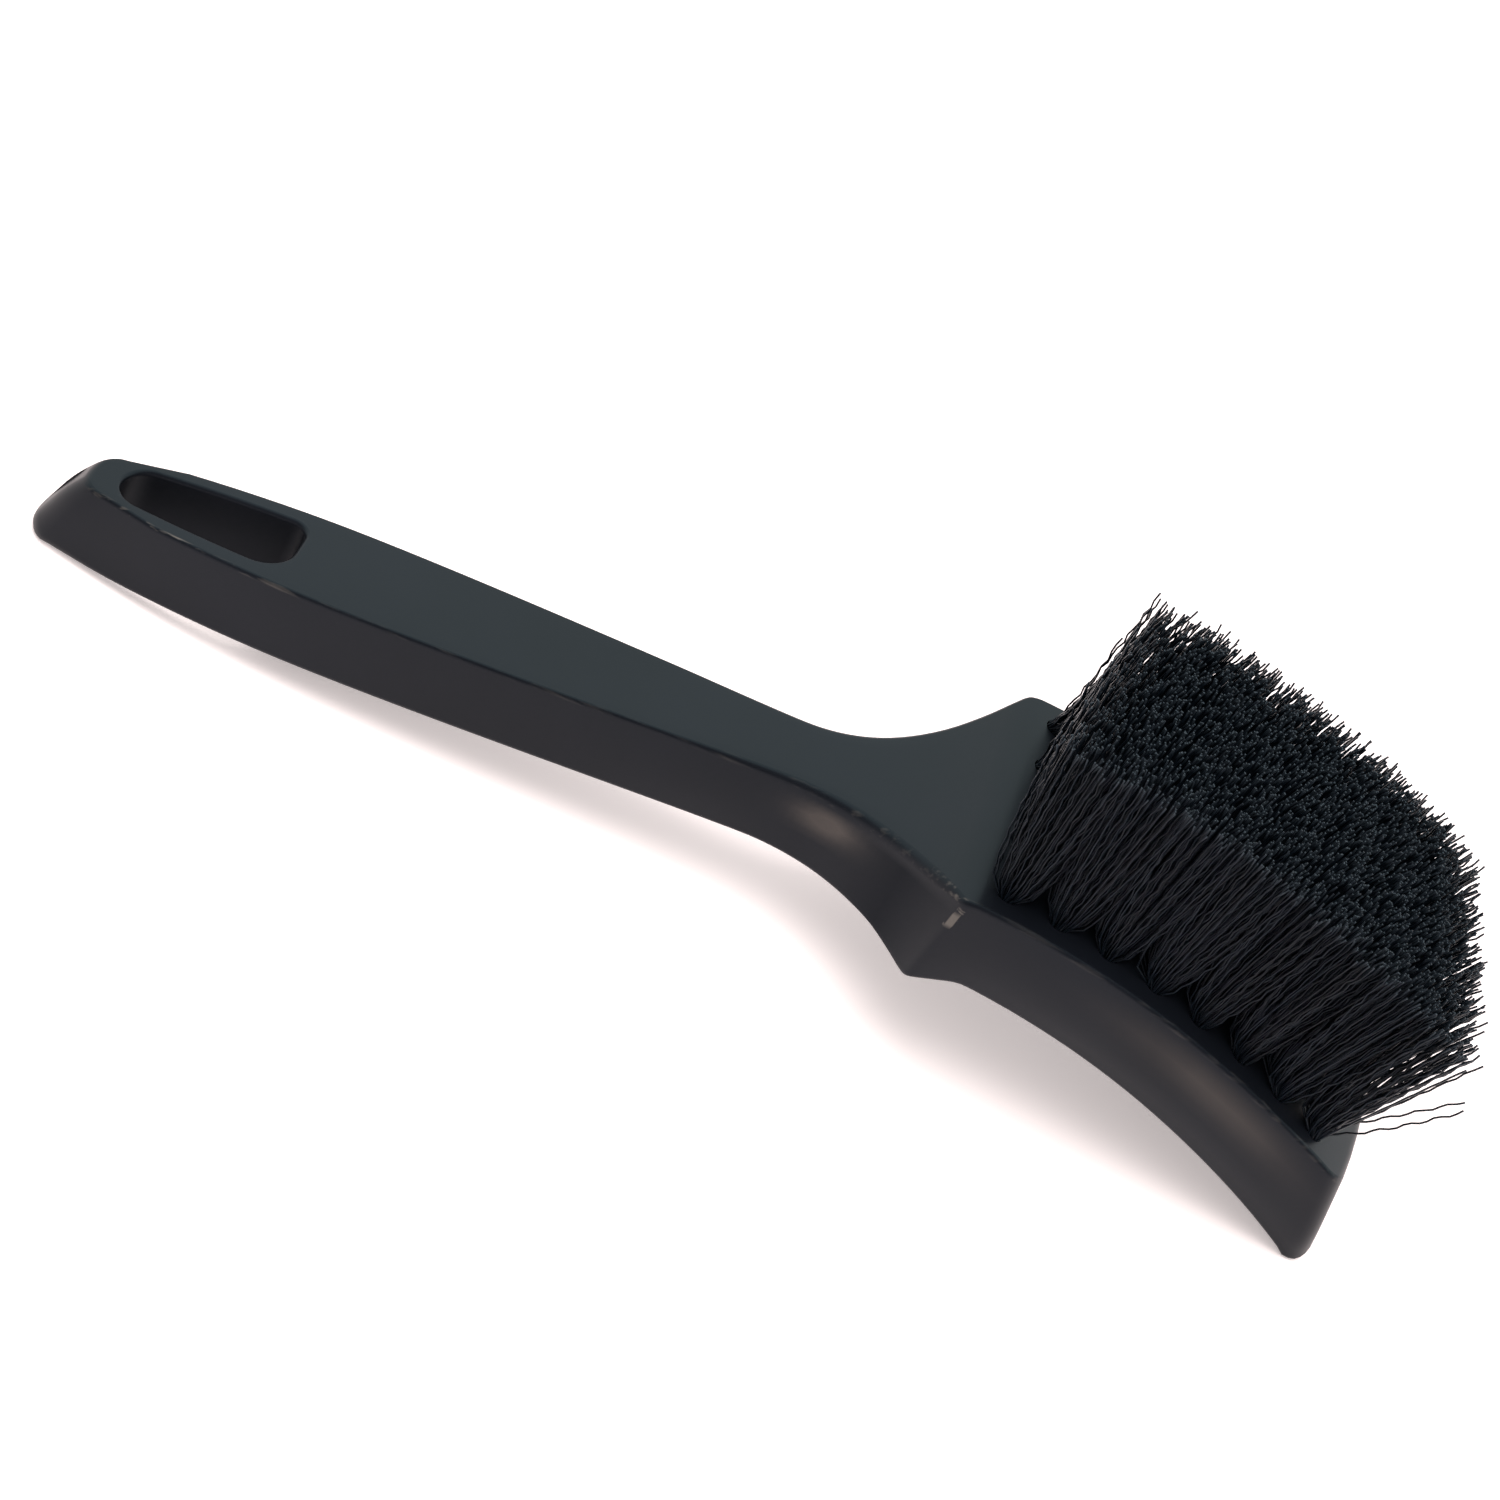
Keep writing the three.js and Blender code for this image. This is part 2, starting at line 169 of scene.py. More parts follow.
def satin_polypropylene():
    """Black polypropylene from a finely blasted mould: a soft, slightly uneven sheen.

    Its ridges have grey rubs and a painted glint runs down the shoulder's edge; painted highlights grey the
    upper sides at the neck and along the block, and hands have smoothed all but the hollow under the flare.
    """
    material, tree, shader = new_material("satin_black_polypropylene")
    place = add(tree, "ShaderNodeTexCoord").outputs["Object"]
    cloud = add(tree, "ShaderNodeTexNoise", {"Vector": place, "Scale": 28, "Detail": 3}).outputs["Fac"]

    # Rubs are streaks along the ridge, 11 mm long and 1 mm wide; near the shoulder they and the solid
    # stroke down its edge are a painted glint.
    streak = add(tree, "ShaderNodeMapping", {"Vector": place, "Scale": (90, 900, 900)})
    rub_and_sheen = add(tree, "ShaderNodeTexNoise", {"Vector": streak.outputs[0], "Scale": 1, "Detail": 4})
    patch = ramp(tree, rub_and_sheen.outputs["Fac"], 0.52, 0.7, (0, 0, 0, 1), (1, 1, 1, 1))
    ridge = attribute(tree, "ridge")
    rubs_and_glint = add(tree, "ShaderNodeMath", {0: ridge, 1: patch}, operation="MULTIPLY").outputs[0]
    glint = add(tree, "ShaderNodeMapRange", {"Value": ridge, 1: SHOULDER_GLINT - 1, 2: SHOULDER_GLINT + 0.2})
    both = {0: rubs_and_glint, 1: glint.outputs["Result"]}
    wear_and_glint = add(tree, "ShaderNodeMath", both, operation="MAXIMUM").outputs[0]

    black = ramp(tree, cloud, 0.3, 0.7, colour("#0a0c10"), colour("#101217"))
    # Painted highlights: this warm grey high on the sides of the neck and the block stands in for their
    # sheen.
    sheen_grey = ramp(tree, cloud, 0.35, 0.65, colour("#302c2a"), colour("#48423e"))
    base = blend(tree, attribute(tree, "painted_sheen"), black, sheen_grey)
    # Grey of the rubs along the ridge; at the shoulder the same grey paints a glint.
    base = blend(tree, wear_and_glint, base, colour("#5a5550"))
    tree.links.new(base, shader.inputs["Base Color"])

    # Hands never reach the hollow under the flare, so the blasted finish is still matt there.
    sheen = add(tree, "ShaderNodeMapRange", {"Value": cloud, 3: 0.36, 4: 0.42}).outputs["Result"]
    levels = {"Factor": attribute(tree, "matt"), "A": sheen, "B": 0.8}
    rough = add(tree, "ShaderNodeMix", levels, data_type="FLOAT").outputs["Result"]
    tree.links.new(rough, shader.inputs["Roughness"])

    # Blasted mould grain, 0.35 mm across.
    grain = add(tree, "ShaderNodeTexNoise", {"Vector": place, "Scale": 2800, "Detail": 2}).outputs["Fac"]
    bump = add(tree, "ShaderNodeBump", {"Height": grain, "Strength": 0.12, "Distance": 0.03 * MM})
    tree.links.new(bump.outputs["Normal"], shader.inputs["Normal"])
    shader.inputs["IOR"].default_value = 1.49
    shader.inputs["Specular IOR Level"].default_value = 0.165
    shader.inputs["Specular Tint"].default_value = (0.84, 0.9, 1, 1)
    return material


def crimped_filament():
    """Black extruded nylon filament: glossy along its length, with duller grey cut ends."""
    material, tree, shader = new_material("crimped_black_filament")
    body = ramp(tree, attribute(tree, "shade"), 0, 1, colour("#04070b"), colour("#0f161d"))
    ends = ramp(tree, attribute(tree, "along"), 0.96, 1, (0, 0, 0, 1), (1, 1, 1, 1))
    tree.links.new(blend(tree, ends, body, colour("#282e34")), shader.inputs["Base Color"])
    shader.inputs["Roughness"].default_value = 0.4
    shader.inputs["IOR"].default_value = 1.53
    shader.inputs["Specular IOR Level"].default_value = 0.18
    shader.inputs["Specular Tint"].default_value = (0.84, 0.9, 1, 1)
    return material


def drawn_wire():
    """Bright drawn steel flat wire: fine lines along its length, drawn 0.17 mm apart."""
    material, tree, shader = new_material("drawn_steel_wire")
    place = add(tree, "ShaderNodeTexCoord").outputs["Object"]
    stretch = add(tree, "ShaderNodeMapping", {"Vector": place, "Scale": (6000, 400, 6000)})
    lines = add(tree, "ShaderNodeTexNoise", {"Vector": stretch.outputs["Vector"], "Scale": 1})
    base = ramp(tree, lines.outputs["Fac"], 0.3, 0.7, colour("#8d8f92"), colour("#b4b6b8"))
    tree.links.new(base, shader.inputs["Base Color"])
    shader.inputs["Metallic"].default_value = 1
    shader.inputs["Roughness"].default_value = 0.32
    return material


# ---------------------------------------------------------------- profile of the moulding
def bezier(points, steps=24):
    """Points on a cubic curve, as an array of x and value."""
    t = np.linspace(0, 1, steps + 1)[:, None]
    a, b, c, d = (np.array(p, float) for p in points)
    return (1 - t) ** 3 * a + 3 * (1 - t) ** 2 * t * b + 3 * (1 - t) * t**2 * c + t**3 * d


def quarter(depth, radius):
    """How far an edge rounded to radius stands back, at this depth from the end."""
    if depth >= radius:
        return 0
    return radius - math.sqrt(max(0, radius**2 - (radius - depth) ** 2))


def handle_back(x):
    """Height of the underside of the handle: a straight climb from the round heel."""
    return HEEL_RADIUS - HEEL_RADIUS * math.hypot(1, RISE) + RISE * (x - HEEL_RADIUS)


def handle_top(x):
    """Height of the flat top of the handle."""
    return handle_back(x) + THICKNESS


def arc_height(radius, x):
    """Height of an arc about the block's own centre."""
    return ARC_Z + math.sqrt(radius**2 - (x - CROWN_X) ** 2)


def neck_tables():
    """Top, back and half width of the neck, as curves."""
    run = (SHOULDER_X - NECK_X) / 3
    shoulder = arc_height(HEAD_RADIUS, SHOULDER_X)
    top = bezier(
        [
            (NECK_X, handle_top(NECK_X)),
            (NECK_X + run, handle_top(NECK_X + run)),
            (SHOULDER_X - run, shoulder - run * NECK_SLOPE),
            (SHOULDER_X, shoulder),
        ]
    )
    back = bezier(
        [
            (NECK_X, handle_back(NECK_X)),
            (NECK_X + run, handle_back(NECK_X + run / 2)),
            (SHOULDER_X - run, handle_back(SHOULDER_X - run)),
            (SHOULDER_X - 1, shoulder - SHOULDER_DROP),
        ]
    )
    taper = NECK_X - WIDEST_X
    side = np.vstack(
        [
            bezier(
                [
                    (WIDEST_X, WIDEST_HALF),
                    (WIDEST_X + taper * 0.35, WIDEST_HALF),
                    (NECK_X - taper * 0.17, NECK_HALF),
                    (NECK_X, NECK_HALF),
                ]
            ),
            bezier(
                [
                    (NECK_X, NECK_HALF),
                    (NECK_X + run * 1.25, NECK_HALF),
                    (SHOULDER_X - run * 0.9, HEAD_HALF - run * 0.9 * FLARE_SLOPE),
                    (SHOULDER_X, HEAD_HALF),
                ]
            )[1:],
        ]
    )
    return top, back, side


NECK_TOP, NECK_BACK, SIDE = neck_tables()
TOE_CENTRE_X = LENGTH - TOE_RADIUS


def top_height(x):
    """Height of the top face: handle, neck, then the curve of the block."""
    if x < NECK_X:
        return handle_top(x) - quarter(x, TOP_EDGE)
    if x < SHOULDER_X:
        return float(np.interp(x, NECK_TOP[:, 0], NECK_TOP[:, 1]))
    return arc_height(HEAD_RADIUS, x) - quarter(LENGTH - x, TOP_EDGE)


def back_height(x):
    """Height of the back: heel, handle, neck, lip, the hollow of the block, then the round toe."""
    if x < HEEL_RADIUS:
        return quarter(x, HEEL_RADIUS)
    if x < NECK_X:
        return handle_back(x)
    if x < NECK_BACK[-1, 0]:
        return float(np.interp(x, NECK_BACK[:, 0], NECK_BACK[:, 1]))
    under = arc_height(UNDER_RADIUS, min(x, TOE_CENTRE_X))
    if x < LIP_END:
        lip_x, lip_z = NECK_BACK[-1]
        return lip_z + (under - lip_z) * (x - lip_x) / (LIP_END - lip_x)
    reach = UNDER_RADIUS + TOE_RADIUS
    touch = TOE_CENTRE_X - TOE_RADIUS * (TOE_CENTRE_X - CROWN_X) / reach
    return under if x < touch else quarter(LENGTH - x, TOE_RADIUS)


def half_width(x):
    """Half the width in plan: tail, widest part of the hand, neck, flare, then the block."""
    if x < TAIL_CORNER:
        return TAIL_HALF - quarter(x, TAIL_CORNER)
    if x < WIDEST_X:
        left = (WIDEST_X - x) / (WIDEST_X - TAIL_CORNER)
        return WIDEST_HALF - (WIDEST_HALF - TAIL_HALF) * left**2
    if x < SHOULDER_X:
        return float(np.interp(x, SIDE[:, 0], SIDE[:, 1]))
    taper = max(0, min(1, (x - (LENGTH - TOE_TAPER)) / (TOE_TAPER - TOE_CORNER)))
    return HEAD_HALF - TOE_INSET * taper**2 - quarter(LENGTH - x, TOE_CORNER)


def value_at(x, values):
    """Value at x, between those given at places along the brush."""
    return float(np.interp(x, list(values), list(values.values())))


def top_edge(x):
    """Rounding of the ridge: tight along the handle and the block, wide where the neck flares."""
    return value_at(x, RIDGE_ROUNDING)


def swell(x):
    """How far the sides bulge between their edges: at the start of the neck, and along the block."""
    return value_at(x, SIDE_SWELL)


def softened(profile, x, reach):
    """A profile with its corners eased over a short length."""
    spots = np.linspace(-reach, reach, 9)
    return sum(profile(min(max(x + s, 0), LENGTH)) for s in spots) / len(spots)


def eased(x, y, z):
    """Final place of a point: both ends lean back from the foot, bulge in plan and keep their top line."""
    from_tail = max(0, 1 - x / LEAN_FADE)
    from_toe = max(0, 1 - (LENGTH - x) / LEAN_FADE)
    curl = CURL * (max(0, z - CURL_FROM) / CURL_RISE) ** 2
    tail = (TAIL_LEAN * (z - HEEL_RADIUS) + curl + y**2 / (2 * TAIL_BULGE)) * from_tail
    bulge = y**2 / (2 * TOE_BULGE) * (BULGE_AT_FOOT + (1 - BULGE_AT_FOOT) * min(z / BULGE_FULL_Z, 1))
    toe = (TOE_LEAN * (z - TOE_RADIUS) + bulge - TOE_SET_OUT) * from_toe
    near_shoulder = max(0, 1 - abs(x - SHOULDER_X) / SHOULDER_REACH)
    shoulder = SHOULDER_LEAN * (z - CROWN_Z) * near_shoulder
    if toe:
        radii = (UNDER_RADIUS, HEAD_RADIUS)
        under, over = (arc_height(radius, x) for radius in radii)
        under_new, over_new = (arc_height(radius, x - toe) for radius in radii)
        share = (z - under) / (over - under)
        z += max(0, share) * (over_new - over)
        z += max(0, 1 - share) * max(0, under_new - max(0, under))
    return x + tail - toe + shoulder, y, z + RISE * tail


def stations():
    """Places of the cross-sections, closest where the outline turns."""
    turn = 1 - np.cos(np.linspace(0, math.pi / 2, 9))
    tail = np.append(turn[:-1] * HEEL_RADIUS, np.arange(HEEL_RADIUS, 12, 1.5))
    handle = np.arange(12, NECK_X, 4)
    neck = np.arange(NECK_X, SHOULDER_X - 3, 1.6)
    shoulder = np.arange(SHOULDER_X - 3, SHOULDER_X + 3, 0.45)
    lip = np.arange(SHOULDER_X + 3, SHOULDER_X + 9, 1)
    head = np.arange(SHOULDER_X + 9, LENGTH - 7, 3)
    toe = LENGTH - turn[:0:-1] * 7
    return np.concatenate([tail, handle, neck, shoulder, lip, head, toe, [LENGTH]])


def ring(x):
    """Cross-section at x: points round it as (y, z, ridge, share of the way down the side).

    The share is -1 on the top face and its rounding.
    """
    off = abs(x - SHOULDER_X)
    half = FULLER + (softened(half_width, x, 0.7) if off < 3 else half_width(x))
    top = softened(top_height, x, 2.5) if off < 6 else top_height(x)
    back = softened(back_height, x, 1.2) if abs(x - SHOULDER_X - 2) < 8 else back_height(x)
    height = top - back
    flared = max(0, min(1, (x - NECK_X) / (SHOULDER_X - NECK_X)))
    low_half = half - (SIDE_DRAFT + (HEAD_DRAFT - SIDE_DRAFT) * flared) * height
    upper = min(top_edge(x), half * 0.45, height * 0.3)
    lower = min(BACK_EDGE + 1.5 * max(0, 1 - x / 14), low_half * 0.6, height * 0.4)
    side = []
    for i in range(4):
        side.append(((half - upper) * i / 4, top, 0, -1))
    for i in range(6):
        a = math.pi / 2 * i / 5
        wear_and_glint = 1 if 0 < i < 5 else 0
        side.append((half - upper + upper * math.sin(a), top - upper + upper * math.cos(a), wear_and_glint, -1))
    for i in range(1, 8):
        f = i / 8
        width = half + (low_half - half) * f + 4 * swell(x) * f * (1 - f)
        # High on the side at the shoulder's crease, this value paints a glint down the edge.
        wear_and_glint = SHOULDER_GLINT if off < 0.6 and f < 0.3 else 0
        side.append((width, top - upper + (back + lower - top + upper) * f, wear_and_glint, f))
    for i in range(7):
        a = math.pi / 2 * i / 6
        side.append((low_half - lower + lower * math.cos(a), back + lower - lower * math.sin(a), 0, 1))
    for i in range(1, 4):
        side.append(((low_half - lower) * (1 - i / 4), back, 0, 1))
    other = [(-y, *rest) for y, *rest in side[:0:-1]]
    return side + [(0, back, 0, 1)] + other


def hump(x, middle, spread):
    """1 at the middle, fading to nothing on both sides."""
    return math.exp(-(((x - middle) / spread) ** 2))


def ridge_wear_and_glint(x):
    """How much the ridges are rubbed, most by the hanging eye; the smaller rise at the shoulder is a
    painted glint.
    """
    tail = hump(x, RUBBED_RIDGE_X, RUBBED_RIDGE_SPREAD)
    shoulder = 0.5 * hump(x, SHOULDER_X, SHOULDER_GLINT_SPREAD)
    return 0.15 + tail + shoulder


def painted_sheen(x, down):
    """Painted highlight high on the sides: a spot where the neck starts, and a band along the block."""
    high = max(0, 1 - abs(down - 0.26) / 0.3)
    neck = 1.5 * hump(x, SHEEN_NECK_X, SHEEN_NECK_SPREAD)
    block = 0.65 * hump(x, SHEEN_BLOCK_X, SHEEN_BLOCK_SPREAD)
    return high * (neck + block)


def matt(x, down):
    """How matt the sides still are: most in the hollow between the neck and the shoulder."""
    if down < 0:
        return 0
    return max(0, 1 - abs(x - MATT_HOLLOW_X) / MATT_HOLLOW_REACH)


def finished(name, mesh, material):
    """Links a mesh as an object at the origin, in its material."""
    piece = bpy.data.objects.new(name, mesh)
    bpy.context.scene.collection.objects.link(piece)
    if material:
        mesh.materials.clear()
        mesh.materials.append(material)
    return piece


def baked(piece, name, material):
    """The evaluated shape of piece as a plain mesh under a new name; piece is removed."""
    depsgraph = bpy.context.evaluated_depsgraph_get()
    mesh = bpy.data.meshes.new_from_object(piece.evaluated_get(depsgraph), depsgraph=depsgraph)
    mesh.name = name
    bpy.data.objects.remove(piece)
    return finished(name, mesh, material)


def mesh_from(bm, name):
    """Turns the work in bm into a mesh whose faces point outwards."""
    bmesh.ops.recalc_face_normals(bm, faces=bm.faces)
    mesh = bpy.data.meshes.new(name)
    bm.to_mesh(mesh)
    bm.free()
    return mesh


def moulding_blank():
    """The moulding before its eye and holes are cut: cross-sections joined from tail to toe."""
    bm = bmesh.new()
    ridge = bm.verts.layers.float.new("ridge")
    # This layer holds the painted highlights on the sides.
    rub_and_sheen = bm.verts.layers.float.new("painted_sheen")
    blasted = bm.verts.layers.float.new("matt")
    rings = []
    for x in stations():
        verts = []
        for y, z, edge, down in ring(x):
            edge *= ridge_wear_and_glint(x) if edge < SHOULDER_GLINT else 1
            x_new, y, z = eased(x, y, z)
            vert = bm.verts.new(((TAIL_X + x_new) * MM, y * MM, z * MM))
            vert[ridge] = edge
            vert[rub_and_sheen] = painted_sheen(x, down)
            vert[blasted] = matt(x, down)
            verts.append(vert)
        rings.append(verts)
    for a, b in zip(rings, rings[1:]):
        for i in range(len(a)):
            j = (i + 1) % len(a)
            bm.faces.new((a[i], a[j], b[j], b[i]))
    bm.faces.new(rings[0])
    bm.faces.new(rings[-1])
    return mesh_from(bm, "moulding_blank")


def loft_between(loops, name):
    """Closed solid through loops of equal length."""
    bm = bmesh.new()
    rows = [[bm.verts.new(Vector(p) * MM) for p in loop] for loop in loops]
    for a, b in zip(rows, rows[1:]):
        for i in range(len(a)):
            j = (i + 1) % len(a)
            bm.faces.new((a[i], a[j], b[j], b[i]))
    bm.faces.new(rows[0])
    bm.faces.new(rows[-1])
    return finished(name, mesh_from(bm, name), None)


def eye_outline(grow):
    """Outline of the hanging eye, moved outwards by grow times the rounding of the rim there."""
    nose_x = EYE_START + EYE_NOSE

    def half(x):
        share = (x - nose_x) / (EYE_END - nose_x)
        return half_width(x) - EYE_WALL - (EYE_WALL_WIDE - EYE_WALL) * share

    def one_side(corner):
        """Points and outward directions from the nose to the middle of the wide end."""
        corner_x = EYE_END - corner
        side = []
        for i in range(10):
            a = math.pi / 2 * i / 10
            out = (-math.cos(a), math.sin(a))
            side.append((nose_x + EYE_NOSE * out[0], half(nose_x) * out[1], *out))
        for x in np.linspace(nose_x, corner_x, 8, endpoint=False):
            side.append((x, half(x), 0, 1))
        for i in range(9):
            a = math.pi / 2 * i / 8
            out = (math.sin(a), math.cos(a))
            side.append((corner_x + corner * out[0], half(corner_x) + corner * (out[1] - 1), *out))
        return side

    near = [(x, -y, out_x, -out_y) for x, y, out_x, out_y in one_side(EYE_CORNER_NEAR)]
    outline = []
    for x, y, out_x, out_y in one_side(EYE_CORNER) + near[:0:-1]:
        share = (out_y + 1) / 2
        reach = grow * (EYE_EDGE_NEAR + (EYE_EDGE - EYE_EDGE_NEAR) * share)
        outline.append((x + out_x * reach, y + out_y * reach))
    return outline


def eye_cutter():
    """The eye with rounded rims on both faces of the handle."""
    steps = [math.radians(a) for a in range(0, 91, 15)]
    loops = [(handle_top, 3, 1)]
    loops += [(handle_top, math.cos(a) - 1, 1 - math.sin(a)) for a in steps]
    loops += [(handle_back, 1 - math.cos(a), 1 - math.sin(a)) for a in steps[::-1]]
    loops += [(handle_back, -3, 1)]
    shapes = []
    for face, offset, grow in loops:
        depth = offset if abs(offset) > 1 else offset * EYE_EDGE
        shapes.append([(TAIL_X + x, y, face(x) + depth) for x, y in eye_outline(grow)])
    return loft_between(shapes, "eye_cutter")


def tuft_frame(node):
    """Root of a tuft on the face of the block and the direction of its bristles, from its CAD solid."""
    points = np.array([v.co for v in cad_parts[node].data.vertices]) / MM
    centre = points.mean(0)
    axis = np.linalg.svd(points - centre, full_matrices=False)[2][0]
    axis *= np.sign(axis[2])
    along = (points - centre) @ axis
    tip = points[along > along.max() - 0.2].mean(0)
    foot = points[along < along.min() + 0.2].mean(0)
    axis = (tip - foot) / np.linalg.norm(tip - foot)
    z = Vector(axis)
    y = Vector((0, 1, 0))
    x = y.cross(z).normalized()
    turn = Matrix((x, z.cross(x), z)).transposed().to_4x4()
    root = Vector(tip) - z * BRISTLE_LENGTH
    return Matrix.Translation(root) @ turn


def hole_cutters(places):
    """A drill for each blind hole, standing proud of the block."""
    bm = bmesh.new()
    for place in places:
        middle = place @ Matrix.Translation((0, 0, (DRILL_PROUD - HOLE_DEPTH) / 2))
        bmesh.ops.create_cone(
            bm,
            cap_ends=True,
            segments=16,
            radius1=HOLE_RADIUS,
            radius2=HOLE_RADIUS,
            depth=HOLE_DEPTH + DRILL_PROUD,
            matrix=middle,
        )
    bm.transform(Matrix.Scale(MM, 4))
    return finished("hole_cutters", mesh_from(bm, "hole_cutters"), None)


def moulding(places, material):
    """The moulding with its hanging eye and its blind holes cut, and crisp edges kept."""
    blank = finished("moulding_blank", moulding_blank(), None)
    cutters = [eye_cutter(), hole_cutters(places)]
    for cutter in cutters:
        cut = blank.modifiers.new(cutter.name, "BOOLEAN")
        cut.operation = "DIFFERENCE"
        cut.solver = "EXACT"
        cut.object = cutter
    piece = baked(blank, "moulding", material)
    for cutter in cutters:
        bpy.data.objects.remove(cutter)
    ridge = piece.data.attributes["ridge"].data
    for vert in piece.data.vertices:
        x, y, _ = vert.co / MM
        by_eye = x < TAIL_X + EYE_END + EYE_CLEAR
        # Nothing rubs inside the eye.
        if by_eye and abs(y) < half_width(x - TAIL_X) - RIDGE_REACH:
            ridge[vert.index].value = 0
    for face in piece.data.polygons:
        face.use_smooth = True
    piece.data.set_sharp_from_angle(angle=math.radians(34))
    even = piece.modifiers.new("even_normals", "WEIGHTED_NORMAL")
    even.keep_sharp = True
    return baked(piece, "moulding", material)


# ---------------------------------------------------------------- tufts
TUFT_INPUTS = {
    "Filaments": ("NodeSocketInt", 130),
    "Root Radius": ("NodeSocketFloat", 2 * MM),
    "Half Along": ("NodeSocketFloat", 7 * MM),
    "Half Across": ("NodeSocketFloat", 5.4 * MM),
    "Lean Along": ("NodeSocketFloat", 0),
    "Lean Across": ("NodeSocketFloat", 0),
    "Free Length": ("NodeSocketFloat", BRISTLE_LENGTH * MM),
    "Sunk Length": ("NodeSocketFloat", (HOLE_DEPTH - 1) * MM),
    "Uneven Length": ("NodeSocketFloat", 0.8 * MM),
    "Filament Radius": ("NodeSocketFloat", 0.21 * MM),
    "Crimp Pitch": ("NodeSocketFloat", 4.6 * MM),
    "Crimp Height": ("NodeSocketFloat", 0.22 * MM),
    "Stray": ("NodeSocketFloat", 2.2 * MM),
    "Fan": ("NodeSocketFloat", 0.55),
    "Loose Filaments": ("NodeSocketInt", 0),
    "Loose Along": ("NodeSocketFloat", 0),
    "Loose Rise": ("NodeSocketFloat", 0),
    "Seed": ("NodeSocketInt", 0),
    "Material": ("NodeSocketMaterial", None),
}
SEGMENTS = 20  # of a filament; the first two are in the hole


def tuft_tree():
    """A bundle of crimped filaments that stands in its hole and fans out to fill its share of the field."""
    tree = bpy.data.node_groups.new("crimped_tuft", "GeometryNodeTree")
    for name, (kind, value) in TUFT_INPUTS.items():
        socket = tree.interface.new_socket(name, in_out="INPUT", socket_type=kind)
        if value is not None:
            socket.default_value = value
    tree.interface.new_socket("Geometry", in_out="OUTPUT", socket_type="NodeSocketGeometry")
    size = add(tree, "NodeGroupInput").outputs

    def math_node(operation, *values):
        inputs = dict(enumerate(values))
        return add(tree, "ShaderNodeMath", inputs, operation=operation).outputs[0]

    def vector(x, y, z):
        return add(tree, "ShaderNodeCombineXYZ", {"X": x, "Y": y, "Z": z}).outputs[0]

    # One straight curve for each filament, from 0 to 1.
    line = add(tree, "GeometryNodeCurvePrimitiveLine", {"Start": (0, 0, 0), "End": (0, 0, 1)})
    line = add(tree, "GeometryNodeResampleCurve", {"Curve": line.outputs[0], "Count": SEGMENTS + 1})
    spots = add(tree, "GeometryNodePoints", {"Count": size["Filaments"]})
    copies = add(
        tree,
        "GeometryNodeInstanceOnPoints",
        {"Points": spots.outputs[0], "Instance": line.outputs[0]},
    )
    curves = add(tree, "GeometryNodeRealizeInstances", {0: copies.outputs[0]})
    number = add(tree, "GeometryNodeCurveOfPoint").outputs["Curve Index"]
    fraction = add(tree, "GeometryNodeSplineParameter").outputs["Factor"]

    def chance(low, high, salt):
        seed = math_node("ADD", size["Seed"], salt)
        made = add(tree, "FunctionNodeRandomValue", {"ID": number, "Seed": seed}, data_type="FLOAT")
        made.inputs[2].default_value = low
        made.inputs[3].default_value = high
        return made.outputs[1]

    # Each filament's place in the bundle: an even spiral.
    share = math_node("DIVIDE", math_node("ADD", number, 0.5), size["Filaments"])
    radius = math_node("SQRT", share)
    turn = math_node("ADD", math_node("MULTIPLY", number, 2.39996), chance(-0.25, 0.25, 1))
    east = math_node("MULTIPLY", radius, math_node("COSINE", turn))
    north = math_node("MULTIPLY", radius, math_node("SINE", turn))
    widest = math_node(
        "MAXIMUM",
        math_node("ABSOLUTE", math_node("COSINE", turn)),
        math_node("ABSOLUTE", math_node("SINE", turn)),
    )
    square = math_node("ADD", 0.2, math_node("MULTIPLY", widest, 0.8))

    # Height above the face of the block: two steps in the hole, the rest free.
    sunk_share = 2 / SEGMENTS
    clear = math_node("DIVIDE", math_node("SUBTRACT", fraction, sunk_share), 1 - sunk_share)
    under = math_node("DIVIDE", math_node("SUBTRACT", fraction, sunk_share), sunk_share)
    uneven = math_node("MULTIPLY", size["Uneven Length"], chance(-1, 1, 2))
    loose = math_node("LESS_THAN", number, size["Loose Filaments"])
    length = math_node("ADD", size["Free Length"], uneven)
    length = math_node("ADD", length, math_node("MULTIPLY", loose, size["Loose Rise"]))
    rise = math_node("MULTIPLY", math_node("MAXIMUM", clear, 0), length)
    fall = math_node("MULTIPLY", math_node("MINIMUM", under, 0), size["Sunk Length"])
    height = math_node("ADD", rise, fall)
    bend = math_node("MULTIPLY", size["Fan"], chance(0.45, 1.5, 8))
    fan = math_node("POWER", math_node("MAXIMUM", clear, 0), bend)

    def across_bundle(disc, half, lean_by, salt):
        """Offset of a filament in one direction, at every height."""
        root = math_node("MULTIPLY", disc, size["Root Radius"])
        tip = math_node("MULTIPLY", math_node("DIVIDE", disc, square), half)
        tip = math_node("ADD", tip, lean_by)
        off = chance(-1, 1, salt)
        seldom = math_node("MULTIPLY", math_node("MULTIPLY", off, off), off)
        tip = math_node("ADD", tip, math_node("MULTIPLY", size["Stray"], seldom))
        travel = math_node("MULTIPLY", math_node("SUBTRACT", tip, root), fan)
        return math_node("ADD", root, travel)

    lean_along = math_node("ADD", size["Lean Along"], math_node("MULTIPLY", loose, size["Loose Along"]))
    east = across_bundle(east, size["Half Along"], lean_along, 3)
    north = across_bundle(north, size["Half Across"], size["Lean Across"], 4)

